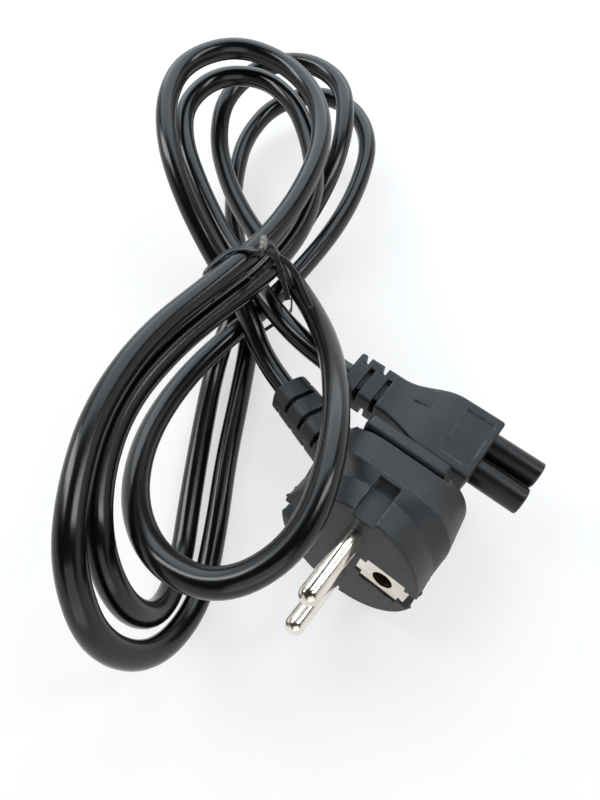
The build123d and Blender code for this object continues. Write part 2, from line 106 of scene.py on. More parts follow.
class NodeBoard:
    """A material's node tree, with short calls to add nodes and join them."""

    def __init__(self, name: str) -> None:
        """Starts an empty material.

        Args:
            name: what the material is called.
        """
        self.material = bpy.data.materials.new(name)
        self.material.use_nodes = True
        self.tree = self.material.node_tree
        self.tree.nodes.clear()
        self.output = self.tree.nodes.new("ShaderNodeOutputMaterial")

    def add(self, kind: str, inputs: dict[str, object] | None = None, **settings: object) -> bpy.types.Node:
        """Adds a node.

        Args:
            kind: the node's type, without its ShaderNode prefix.
            inputs: values for its sockets; a socket of another node is joined to.
            settings: values for the node's own properties.

        Returns:
            The new node.
        """
        node = self.tree.nodes.new("ShaderNode" + kind)
        for name, value in settings.items():
            setattr(node, name, value)
        for name, value in (inputs or {}).items():
            socket = node.inputs[int(name)] if name.isdigit() else node.inputs[name]
            if isinstance(value, Socket):
                self.tree.links.new(value, socket)
            else:
                socket.default_value = value
        return node

    def place(self, scale: Point = (1.0, 1.0, 1.0)) -> Socket:
        """Object coordinates, stretched.

        Args:
            scale: how much each axis is stretched.

        Returns:
            The socket with the coordinates.
        """
        coordinates = self.add("TexCoord").outputs["Object"]
        return self.add("Mapping", {"Vector": coordinates, "Scale": scale}).outputs["Vector"]

    def noise(self, where: Socket, waves: float, detail: float) -> Socket:
        """A noise field, from 0 to 1.

        Args:
            where: coordinates.
            waves: waves in a metre.
            detail: how many finer layers are laid over it.

        Returns:
            The socket with its value.
        """
        inputs = {"Vector": where, "Scale": waves, "Detail": detail, "Roughness": NOISE_ROUGHNESS}
        return self.add("TexNoise", inputs).outputs["Fac"]

    def span(self, value: Socket, reach: Span, onto: Span = FULL) -> Socket:
        """A value moved from one range into another.

        Args:
            value: what is moved.
            reach: lower and upper end of its range.
            onto: what the two ends become.

        Returns:
            The socket with the new value.
        """
        ends = dict(zip(RANGE_SOCKETS, (*reach, *onto)))
        return self.add("MapRange", {"Value": value, **ends}).outputs["Result"]

    def combine(self, operation: str, first: Socket, second: Socket | float) -> Socket:
        """Two values made into one.

        Args:
            operation: how, by Blender's own word for it.
            first: one value.
            second: the other one.

        Returns:
            The socket with the result.
        """
        return self.add("Math", {"0": first, "1": second}, operation=operation).outputs[0]

    def blend(self, share: Socket, first: Colour | Socket, second: Colour) -> Socket:
        """A colour between two colours.

        Args:
            share: how much of the second colour there is.
            first: colour at 0, plain or a socket's.
            second: colour at 1.

        Returns:
            The socket with the colour.
        """
        start = first if isinstance(first, Socket) else (*first, 1.0)
        inputs = {"0": share, "6": start, "7": (*second, 1.0)}
        return self.add("Mix", inputs, data_type="RGBA").outputs[2]

    def bump(self, height: Socket, depth: float, strength: float = 1.0,
             under: Socket | None = None) -> Socket:
        """Relief from a height field.

        Args:
            height: the field, from 0 to 1.
            depth: how deep the relief is, in metres.
            strength: how much of it is applied.
            under: a coarser relief that this one lies on.

        Returns:
            The socket with the bent normal.
        """
        inputs: dict[str, object] = {"Height": height, "Distance": depth, "Strength": strength}
        if under is not None:
            inputs["Normal"] = under
        return self.add("Bump", inputs).outputs["Normal"]

    def soft_edge(self, radius: float) -> Socket:
        """The surface's direction with its sharp edges rounded off.

        Args:
            radius: how wide the rounding is, in metres.

        Returns:
            The socket with the bent normal.
        """
        return self.add("Bevel", {"Radius": radius}, samples=BEVEL_SAMPLES).outputs["Normal"]

    def edge_share(self, soft: Socket, reach: float) -> Socket:
        """How much of an edge a place is: 0 on the flat and 1 on the edge.

        Args:
            soft: the rounded normal.
            reach: how far the two normals part where the share is full.

        Returns:
            The socket with the share.
        """
        flat = self.add("NewGeometry").outputs["Normal"]
        same = self.add("VectorMath", {"0": soft, "1": flat}, operation="DOT_PRODUCT").outputs["Value"]
        return self.span(same, (1.0, 1.0 - reach))

    def surface(self, inputs: dict[str, object]) -> Material:
        """Closes the material with a principled shader.

        Args:
            inputs: values or sockets for the shader.

        Returns:
            The finished material.
        """
        shader = self.add("BsdfPrincipled", inputs)
        self.tree.links.new(shader.outputs["BSDF"], self.output.inputs["Surface"])
        return self.material


@dataclass(frozen=True)
class JacketFinish:
    """Glossy black PVC of the cord's jacket, a little uneven from the cores inside, with specks of dust."""

    name: str = "jacket_pvc"
    deep: Colour = (0.0010, 0.0011, 0.0013)
    bloom: Colour = (0.0026, 0.0028, 0.0032)
    dust: Colour = (0.13, 0.13, 0.125)
    cloud_waves: float = 38.0
    fine_waves: float = 700.0
    speck_waves: float = 1500.0
    patch_waves: float = 90.0
    bloom_span: Span = (0.35, 0.7)
    speck_span: Span = (0.75, 0.79)
    patch_span: Span = (0.52, 0.66)
    fine_span: Span = (0.3, 0.75)
    rough: Span = (0.185, 0.225)
    wavy_depth: float = 0.0003
    fine_depth: float = 0.000003
    index: float = 1.46

    def make(self) -> Material:
        """Builds the material.

        Returns:
            The finished material.
        """
        board = NodeBoard(self.name)
        where = board.place()
        cloud = board.noise(where, self.cloud_waves, detail=2.0)
        fine = board.noise(where, self.fine_waves, detail=3.0)
        speck = board.noise(where, self.speck_waves, detail=2.0)
        patch = board.noise(where, self.patch_waves, detail=2.0)
        black = board.blend(board.span(cloud, self.bloom_span), self.deep, self.bloom)
        grains = board.span(speck, self.speck_span)
        dusty = board.combine("MULTIPLY", grains, board.span(patch, self.patch_span))
        wavy = board.bump(cloud, self.wavy_depth, strength=0.3)
        return board.surface({
            "Base Color": board.blend(dusty, black, self.dust),
            "Roughness": board.span(fine, self.fine_span, self.rough),
            "Normal": board.bump(fine, self.fine_depth, strength=0.1, under=wavy),
            "IOR": self.index,
        })


@dataclass(frozen=True)
class MouldingFinish:
    """Black moulded PVC with a fine spark-eroded grain, of the plug and the connector; its edges are
    painted lighter, a painted edge highlight that also stands for rubbing wear.
    """

    name: str
    dark: Colour = (0.0044, 0.0052, 0.0060)
    worn: Colour = (0.0190, 0.0220, 0.0248)
    # Lighter colour along the edges: a painted highlight, partly also rubbing wear
    edge_highlight_and_wear: Colour = (0.075, 0.082, 0.088)
    patch_waves: float = 70.0
    grain_waves: float = 2600.0
    pore_waves: float = 1900.0
    break_waves: float = 420.0
    peel_waves: float = 330.0
    patch_span: Span = (0.3, 0.75)
    break_span: Span = (0.40, 0.62)
    rough: Span = (0.38, 0.58)
    grain_depth: float = 0.00005
    peel_depth: float = 0.00016
    edge: float = 0.0007
    edge_highlight_reach: float = 0.07
    index: float = 1.5

    def make(self) -> Material:
        """Builds the material.

        Returns:
            The finished material.
        """
        board = NodeBoard(self.name)
        where = board.place()
        patch = board.noise(where, self.patch_waves, detail=4.0)
        grain = board.noise(where, self.grain_waves, detail=2.0)
        pores = board.add("TexVoronoi", {"Vector": where, "Scale": self.pore_waves}).outputs["Distance"]
        soft = board.soft_edge(self.edge)
        # Share of the edge colour: a painted highlight along every edge, partly also rubbing wear
        edge_highlight_share = board.edge_share(soft, self.edge_highlight_reach)
        broken = board.span(board.noise(where, self.break_waves, detail=3.0), self.break_span)
        black = board.blend(board.span(patch, self.patch_span), self.dark, self.worn)
        swell = board.noise(where, self.peel_waves, detail=3.0)
        peel = board.bump(swell, self.peel_depth, strength=0.35, under=soft)
        coarse = board.bump(pores, self.grain_depth, strength=0.35, under=peel)
        return board.surface({
            "Base Color": board.blend(board.combine("MULTIPLY", edge_highlight_share, broken), black, self.edge_highlight_and_wear),
            "Roughness": board.span(grain, MIDDLE, self.rough),
            "Normal": board.bump(grain, self.grain_depth, strength=0.45, under=coarse),
            "IOR": self.index,
        })


@dataclass(frozen=True)
class PlatedFinish:
    """Bright nickel plating with fine drawn lines and a warm cast."""

    name: str
    pale: Colour = (0.86, 0.82, 0.74)
    shade: Colour = (0.66, 0.60, 0.50)
    rough: float = 0.16
    rough_play: Span = (0.7, 1.6)
    lines: Point = (1.0, 60.0, 60.0)
    line_waves: float = 30.0
    line_depth: float = 0.00001
    patch_waves: float = 160.0
    patch_span: Span = (0.35, 0.7)
    edge: float = 0.0002

    def make(self) -> Material:
        """Builds the material.

        Returns:
            The finished material.
        """
        board = NodeBoard(self.name)
        patch = board.noise(board.place(), self.patch_waves, detail=3.0)
        streaks = board.noise(board.place(self.lines), self.line_waves, detail=4.0)
        soft = board.soft_edge(self.edge)
        low, high = self.rough_play
        return board.surface({
            "Base Color": board.blend(board.span(patch, self.patch_span), self.pale, self.shade),
            "Metallic": 1.0,
            "Roughness": board.span(streaks, MIDDLE, (self.rough * low, self.rough * high)),
            "Normal": board.bump(streaks, self.line_depth, strength=0.2, under=soft),
        })


@dataclass(frozen=True)
class PlasticFinish:
    """Plain smooth plastic with a faint cloudiness, for cores, the insert and the tie."""

    name: str
    base: Colour
    rough: float = 0.35
    depth: float = 0.00001
    cloud_waves: float = 120.0
    fine_waves: float = 1800.0
    shade: float = 0.75
    rough_play: Span = (0.88, 1.15)

    def make(self) -> Material:
        """Builds the material.

        Returns:
            The finished material.
        """
        board = NodeBoard(self.name)
        where = board.place()
        cloud = board.noise(where, self.cloud_waves, detail=3.0)
        fine = board.noise(where, self.fine_waves, detail=2.0)
        darker = tuple(c * self.shade for c in self.base)
        low, high = self.rough_play
        return board.surface({
            "Base Color": board.blend(board.span(cloud, MIDDLE), self.base, darker),
            "Roughness": board.span(cloud, MIDDLE, (self.rough * low, self.rough * high)),
            "Normal": board.bump(fine, self.depth, strength=0.4),
        })


@dataclass(frozen=True)
class StripedFinish:
    """Core insulation in two colours that run side by side along it."""

    name: str
    first: Colour
    second: Colour
    stripe_waves: float = 130.0
    stripe_sway: float = 0.6
    stripe_span: Span = (0.45, 0.55)
    fine_waves: float = 1800.0
    rough: Span = (0.3, 0.45)
    depth: float = 0.00003

    def make(self) -> Material:
        """Builds the material.

        Returns:
            The finished material.
        """
        board = NodeBoard(self.name)
        where = board.place()
        stripes = {"Vector": where, "Scale": self.stripe_waves, "Distortion": self.stripe_sway}
        wave = board.add("TexWave", stripes, bands_direction="Z").outputs["Fac"]
        fine = board.noise(where, self.fine_waves, detail=2.0)
        return board.surface({
            "Base Color": board.blend(board.span(wave, self.stripe_span), self.first, self.second),
            "Roughness": board.span(fine, MIDDLE, self.rough),
            "Normal": board.bump(fine, self.depth, strength=0.5),
        })


class Finish(Enum):
    """Every finish of the cord, by the record's slot names."""

    MOULDING = "moulding"
    INSERT = "insert"
    JACKET = "jacket"
    BRIDGE = "bridge"
    PLATING = "plating"
    SPRING_BRASS = "spring_brass"
    CORE_BROWN = "core_brown"
    CORE_BLUE = "core_blue"
    CORE_EARTH = "core_earth"
    COPPER = "copper"
    TIE = "tie"
    TIE_SHEEN = "tie_worn"

    def slot(self) -> str:
        """The record's slot that the finish belongs to."""
        return self.value.removesuffix("_worn")


class FinishRack:
    """Makes each finish once and hands it out."""

    def __init__(self) -> None:
        """Sets out how each finish is made."""
        self.makers = {
            Finish.MOULDING: MouldingFinish("moulded_pvc"),
            Finish.INSERT: PlasticFinish("nose_plastic", (0.0045, 0.0050, 0.0056), 0.30, 0.000001),
            Finish.JACKET: JacketFinish(),
            Finish.BRIDGE: PlasticFinish("bridge_plastic", (0.32, 0.31, 0.28), 0.5),
            Finish.PLATING: PlatedFinish("nickel_plate"),
            # Colours far darker than real brass: painted shade, so that the contacts deep in the socket
            # holes read black
            Finish.SPRING_BRASS: PlatedFinish(
                "spring_brass", (0.22, 0.16, 0.08), (0.10, 0.07, 0.035), 0.40,
            ),
            Finish.CORE_BROWN: PlasticFinish("core_brown_pvc", (0.16, 0.06, 0.025)),
            Finish.CORE_BLUE: PlasticFinish("core_blue_pvc", (0.02, 0.10, 0.42)),
            Finish.CORE_EARTH: StripedFinish("core_earth_pvc", (0.05, 0.30, 0.06), (0.75, 0.60, 0.03)),
            Finish.COPPER: PlatedFinish("copper_strand", (0.85, 0.42, 0.26), (0.70, 0.30, 0.16), 0.3),
            Finish.TIE: PlasticFinish("tie_pvc", (0.0160, 0.0165, 0.0180), 0.24),
            # The knot's pale cream colour is painted sheen: the bright highlights of the twisted black
            # ribbon, put into its colour
            Finish.TIE_SHEEN: PlasticFinish("tie_pvc_painted_sheen", (0.22, 0.215, 0.185), 0.28),
        }
        self.made: dict[Finish, Material] = {}

    def get(self, finish: Finish) -> Material:
        """Hands out a finish.

        Args:
            finish: which one.

        Returns:
            Its material.
        """
        if finish not in self.made:
            self.made[finish] = self.makers[finish].make()
        return self.made[finish]

    def dress_node(self, node: str, finish: Finish) -> None:
        """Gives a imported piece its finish.

        Args:
            node: the piece's name.
            finish: which finish it takes.
        """
        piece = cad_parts[node]
        for place in piece.material_slots:
            place.material = self.get(finish)


@dataclass
class Cord:
    """The cord's jacket: one smooth line from the plug's strain relief to the connector's comb.

    Its corners are in millimetres, and its thickness and length in metres.
    """

    diameter: float = 0.0062
    length: float = 1.613
    round_steps: int = 8
    bend_order: int = 3
    line_steps: int = 10
    corners: tuple[Point, ...] = (
        (-31.6, 14.16, 14.01), (-43.96, 18.04, 12.97),
        (-56.5, 26, 18.6), (-72, 31.5, 22), (-88, 37.5, 31), (-103, 46.5, 38),
        (-115.5, 59.5, 41.5), (-122.5, 76, 42.3), (-116, 93, 41.8), (-99, 98, 40), (-81.5, 92, 38.8),
        (-68.5, 78, 38), (-61, 59, 37.5), (-57, 38, 37.5), (-57, 15.5, 40), (-55.5, -6.5, 45),
        (-49, -26, 49), (-40, -40.5, 49.8), (-29.5, -52.5, 48.5), (-19, -60.5, 36), (-12.5, -57, 17.5),
        (-15.5, -42.5, 3.3), (-25, -26, 3.3), (-36, -9.5, 3.3), (-46, 8, 3.4), (-56.5, 25.5, 4),
        (-68.5, 39, 3.9), (-83, 50.5, 4), (-97, 63.5, 4.5), (-107.5, 78, 6), (-115.5, 93.5, 7.5),
        (-116.5, 112, 10), (-104.5, 125, 12.5), (-87, 124, 14), (-72.5, 113, 13.5), (-64.5, 95.5, 11.5),
        (-59.5, 75.5, 10.4), (-57.5, 53.5, 10.5), (-57, 32, 11), (-58, 13, 13.5), (-55.5, -6, 17.5),
        (-47.5, -23.5, 25), (-34.5, -36.5, 34), (-19, -42, 41.5), (-4.5, -38, 45.5), (1.5, -22.5, 47.5),
        (-4.5, -4.5, 47), (-15, 11.5, 40), (-28, 26, 30), (-44.5, 38, 22), (-62.5, 46.5, 18.3),
        (-81, 54.5, 15.5), (-98, 64, 15.5), (-112.5, 75.5, 18.5), (-122, 91, 22), (-120.5, 108.5, 25),
        (-107.5, 119.5, 27), (-90, 117.5, 27.5), (-77.5, 104, 26.5), (-69.5, 86.5, 21),
        (-66.5, 65.5, 13.8), (-65.5, 44, 10.8), (-64.5, 28, 10), (-58.5, 11, 3.8), (-48, -6, 3.3),
        (-36.5, -23.5, 3.3), (-25, -40, 3.3), (-19, -50.5, 14), (-21.5, -53, 29.5), (-30.5, -47.5, 40.5),
        (-41.5, -36.5, 41.8), (-50, -21.5, 40.5), (-53.5, -3.5, 37.5), (-54.5, 15.5, 33),
        (-54.5, 34.5, 29.8), (-57, 53, 29.5), (-64.5, 69.5, 30), (-78, 83.5, 30.8), (-92, 93.5, 31.5),
        (-108, 97, 32), (-121, 88, 32), (-120.5, 71, 31.5), (-109.5, 58, 29.5), (-94.5, 49, 25),
        (-80, 42, 21), (-65, 36.6, 19.8), (-50.5, 29.8, 20.4),
        (-32.7, 25.5, 20.5), (-19.7, 25.5, 20.5),
    )

    def build(self, rack: FinishRack, riders: list[Object]) -> Object:
        """Args:
            rack: where the jacket's finish comes from.
            riders: the pieces on the cord, the connector's among them.

        Returns:
            The cord's curve object.
        """
        line = bpy.data.curves.new("cord_jacket", "CURVE")
        line.dimensions = "3D"
        line.bevel_depth = self.diameter / 2
        line.bevel_resolution = self.round_steps
        line.use_fill_caps = True
        spline = line.splines.new("NURBS")
        spline.points.add(len(self.corners) - 1)
        for point, corner in zip(spline.points, self.corners):
            point.co = (*vec(corner), 1.0)
        spline.order_u = self.bend_order
        spline.use_endpoint_u = True
        spline.resolution_u = self.line_steps
        line.materials.append(rack.get(Finish.JACKET))
        jacket = link_new("cord_jacket", line)
        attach(jacket, "root")
        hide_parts("cord")
        Finish.JACKET.slot()
        log.info("cord: %d corners, %d pieces on it", len(self.corners), len(riders))
        return jacket


@dataclass
class Plug:
    """The angled two-pin plug, whose pieces are all packed ones."""

    finishes: dict[str, Finish] = field(default_factory=lambda: {
        "plug_body": Finish.MOULDING,
        "plug_bridge": Finish.BRIDGE,
        "pin_line": Finish.PLATING,
        "pin_neutral": Finish.PLATING,
        "earth_strap": Finish.PLATING,
        "earth_clip": Finish.PLATING,
        "earth_socket": Finish.SPRING_BRASS,
        "plug_core_brown": Finish.CORE_BROWN,
        "plug_core_blue": Finish.CORE_BLUE,
        "plug_core_earth": Finish.CORE_EARTH,
        "plug_wire_brown": Finish.COPPER,
        "plug_wire_blue": Finish.COPPER,
    })

    def build(self, rack: FinishRack) -> None:
        """Dresses the plug's pieces.

        Args:
            rack: where the finishes come from.
        """
        for node, finish in self.finishes.items():
            rack.dress_node(node, finish)
        log.info("plug: %d pieces dressed", len(self.finishes))


@dataclass(frozen=True)
class Fin:
    """One fin: its side of the face, its height there and the depths between which it runs."""

    side: int
    height: float
    start: float = 0.6
    end: float = 13.2


@dataclass(frozen=True)
class Tear:
    """A place where a fin stands out: its fin's side and height, its middle, half length and height."""

    side: int
    height: float
    middle: float
    half: float
    tall: float


@dataclass
class MouldingFlash:
    """Thin ragged fins that the mould's halves left along the plug's parting line, in millimetres."""

    face: Point = (7.1, -13.9, 21.53)
    lean: float = 15.0
    radius: float = 18.5
    thick: float = 0.16
    root: float = 0.25
    step: float = 0.35
    least: float = 0.05
    ragged: float = 0.09
    sway: float = 0.10
    tear_least: float = 0.55
    tear_ragged: float = 0.45
    seed: int = 7
    fins: tuple[Fin, ...] = (Fin(1, 3.75), Fin(1, -3.75), Fin(-1, 3.75), Fin(-1, -3.75))
    tears: tuple[Tear, ...] = (
        Tear(1, 3.75, 12.4, 1.1, 0.75), Tear(1, 3.75, 9.6, 0.6, 0.35), Tear(1, 3.75, 1.6, 0.9, 0.55),
        Tear(1, -3.75, 1.0, 1.0, 0.65), Tear(1, -3.75, 4.4, 0.7, 0.35), Tear(-1, 3.75, 1.0, 1.1, 0.70),
        Tear(-1, -3.75, 1.2, 1.0, 0.65), Tear(-1, 3.75, 4.0, 0.8, 0.35),
    )

    def placed(self, x: float, y: float, z: float) -> Vector:
        """A point of the plug's own frame, in the object's frame.

        Args:
            x: across the face.
            y: depth behind the face.
            z: up the face.

        Returns:
            The point.
        """
        lean = math.radians(self.lean)
        deep, rise = math.cos(lean), math.sin(lean)
        across, along, up = self.face
        return Vector((across + x, along + deep * y + rise * z, up - rise * y + deep * z))

    def reach(self, fin: Fin, depth: float, chance: random.Random) -> float:
        """How far a fin stands out at a depth.

        Args:
            fin: which fin.
            depth: how far behind the face.
            chance: where the raggedness comes from.

        Returns:
            The reach.
        """
        reach = self.least + self.ragged * chance.random()
        for tear in self.tears:
            if tear.side == fin.side and tear.height == fin.height:
                near = max(0.0, 1.0 - abs(depth - tear.middle) / tear.half)
                reach += tear.tall * near * (self.tear_least + self.tear_ragged * chance.random())
        return reach

    def build(self, rack: FinishRack) -> Object:
        """Builds every fin as one mesh.

        Args:
            rack: where the finish comes from.

        Returns:
            The flash's object.
        """
        chance = random.Random(self.seed)
        points: list[Vector] = []
        faces: list[Face] = []
        for fin in self.fins:
            out = math.sqrt(self.radius ** 2 - fin.height ** 2)
            count = int((fin.end - fin.start) / self.step)
            first = len(points)
            for index in range(count + 1):
                depth = fin.start + (fin.end - fin.start) * index / count
                tip = 0.0 if index in (0, count) else self.reach(fin, depth, chance)
                sway = self.sway * (chance.random() - 0.5)
                inner = fin.side * (out - self.root)
                points.append(self.placed(inner, depth, fin.height - self.thick / 2))
                points.append(self.placed(inner, depth, fin.height + self.thick / 2))
                points.append(self.placed(fin.side * (out + tip), depth + sway, fin.height + sway))
            for index in range(count):
                here, there = first + 3 * index, first + 3 * index + 3
                for a, b in ((0, 1), (1, 2), (2, 0)):
                    faces.append((here + a, here + b, there + b, there + a))
            last = first + 3 * count
            faces += [(first, first + 2, first + 1), (last, last + 1, last + 2)]
        metres = [tuple(p * MM) for p in points]
        flash = mesh_piece("plug_flash", metres, faces, rack.get(Finish.MOULDING))
        Finish.MOULDING.slot()
        return flash


@dataclass
class PointerMark:
    """A plain raised wedge on the connector's sloping top, in millimetres.

    Each of its two sides runs from the tail, where it is proud, to the nose end, where it is flush.
    """

    nose_face: float = 20.3
    middle_height: float = 20.5
    block: float = 11.0
    shoulder: float = 16.0
    high: float = 7.2
    low: float = 5.0
    rise: float = 0.32
    root: float = 0.3
    fade: float = 0.7
    sides: tuple[tuple[Span, Span], ...] = (((-1.2, 27.0), (3.4, 27.2)), ((-0.9, 31.8), (3.0, 32.6)))
    steps: int = 10

    def top(self, x: float) -> float:
        """Height of the connector's top surface.

        Args:
            x: place along the connector.

        Returns:
            The height.
        """
        share = min(max((self.nose_face - self.block - x) / self.shoulder, 0.0), 1.0)
        eased = 3 * share ** 2 - 2 * share ** 3
        return self.middle_height + self.high - (self.high - self.low) * eased

    def build(self, rack: FinishRack) -> Object:
        """Builds the wedge: flush with the surface at its nose end and proud at the other.

        Args:
            rack: where the finish comes from.

        Returns:
            The wedge's object.
        """
        points: list[Point] = []
        for index in range(self.steps + 1):
            along = index / self.steps
            for tail, nose in self.sides:
                x = tail[0] + (nose[0] - tail[0]) * along
                y = tail[1] + (nose[1] - tail[1]) * along
                lift = self.rise * (1.0 - along) ** self.fade
                points.append((x * MM, y * MM, (self.top(x) + lift) * MM))
                points.append((x * MM, y * MM, (self.top(x) - self.root) * MM))
        faces: list[Face] = []
        for index in range(self.steps):
            a, b = 4 * index, 4 * index + 4
            faces += [
                (a, b, b + 2, a + 2), (a + 1, a + 3, b + 3, b + 1),
                (a, a + 1, b + 1, b), (a + 2, b + 2, b + 3, a + 3),
            ]
        last = 4 * self.steps
        faces += [(0, 2, 3, 1), (last, last + 1, last + 3, last + 2)]
        wedge = mesh_piece("connector_pointer", points, faces, rack.get(Finish.MOULDING))
        Finish.MOULDING.slot()
        return wedge


@dataclass
class Connector:
    """The three-hole connector, whose pieces are all packed ones."""

    finishes: dict[str, Finish] = field(default_factory=lambda: {
        "connector_body": Finish.MOULDING,
        "connector_insert": Finish.INSERT,
        "contact_line": Finish.SPRING_BRASS,
        "contact_neutral": Finish.SPRING_BRASS,
        "contact_earth": Finish.SPRING_BRASS,
        "connector_core_line": Finish.CORE_BROWN,
        "connector_core_neutral": Finish.CORE_BLUE,
        "connector_core_earth": Finish.CORE_EARTH,
        "connector_wire_line": Finish.COPPER,
        "connector_wire_neutral": Finish.COPPER,
        "connector_wire_earth": Finish.COPPER,
    })

    def build(self, rack: FinishRack) -> list[Object]:
        """Dresses the connector's pieces.

        Args:
            rack: where the finishes come from.

        Returns:
            The pieces, which hang on the cord's far end.
        """
        for node, finish in self.finishes.items():
            rack.dress_node(node, finish)
        log.info("connector: %d pieces dressed", len(self.finishes))
        return [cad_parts[node] for node in self.finishes] + [PointerMark().build(rack)]


class Ribbon:
    """A swept ribbon with two rounded ridges and a groove between them, as a growing mesh."""

    # Upper half of the section, across and up, in shares of half the width and half the thickness
    RIDGES = (
        (-1.0, 0.0), (-0.93, 0.55), (-0.68, 1.0), (-0.36, 0.86),
        (0.0, 0.45), (0.36, 0.86), (0.68, 1.0), (0.93, 0.55),
    )

    def __init__(self, width: float, thick: float) -> None:
        """Sets the ribbon's section.

        Args:
            width: how wide it is, in millimetres.
            thick: how thick its ridges are, in millimetres.
        """
        half, rise = width / 2, thick / 2
        upper = [(u * half, v * rise) for u, v in self.RIDGES]
        self.section = upper + [(-u, -v) for u, v in upper]
        self.points: list[Vector] = []
        self.faces: list[Face] = []

    def sweep(self, line: list[Vector], widths: list[Vector], closed: bool = False) -> None:
        """Sweeps the section along a line.

        Args:
            line: the points it runs through, in millimetres.
            widths: which way its width points at each of them.
            closed: whether its end joins its start.
        """
        count, around, first = len(line), len(self.section), len(self.points)
        for index, (place, wide) in enumerate(zip(line, widths)):
            ahead = line[(index + 1) % count] if closed else line[min(index + 1, count - 1)]
            behind = line[index - 1] if closed else line[max(index - 1, 0)]
            along = (ahead - behind).normalized()
            across = (wide - along * wide.dot(along)).normalized()
            rise = along.cross(across)
            self.points += [place + across * u + rise * v for u, v in self.section]
        for index in range(count if closed else count - 1):
            here, there = first + index * around, first + ((index + 1) % count) * around
            for side in range(around):
                after = (side + 1) % around
                self.faces.append((here + side, there + side, there + after, here + after))
        if not closed:
            last = first + (count - 1) * around
            self.faces.append(tuple(first + side for side in range(around)))
            self.faces.append(tuple(last + side for side in reversed(range(around))))

    def finish(self, name: str, material: Material) -> Object:
        """Makes the mesh's object.

        Args:
            name: what it is called.
            material: what it is made of.

        Returns:
            The object.
        """
        piece = mesh_piece(name, [tuple(p * MM) for p in self.points], self.faces, material)
        piece.data.shade_smooth()
        return piece


def smooth_line(corners: list[Vector], steps: int, closed: bool = False) -> list[Vector]:
    """A smooth line through points.

    Args:
        corners: the points.
        steps: how many steps it takes between two of them.
        closed: whether it returns to its start.

    Returns:
        The line's points.
    """
    count = len(corners)
    line: list[Vector] = []
    for index in range(count if closed else count - 1):
        spots = [index - 1, index, index + 1, index + 2]
        if closed:
            a, b, c, d = (corners[i % count] for i in spots)
        else:
            a, b, c, d = (corners[min(max(i, 0), count - 1)] for i in spots)
        for step in range(steps):
            t = step / steps
            line.append(0.5 * (2 * b + (c - a) * t + (2 * a - 5 * b + 4 * c - d) * t * t
                               + (3 * b - a - 3 * c + d) * t ** 3))
    if not closed:
        line.append(corners[-1].copy())
    return line


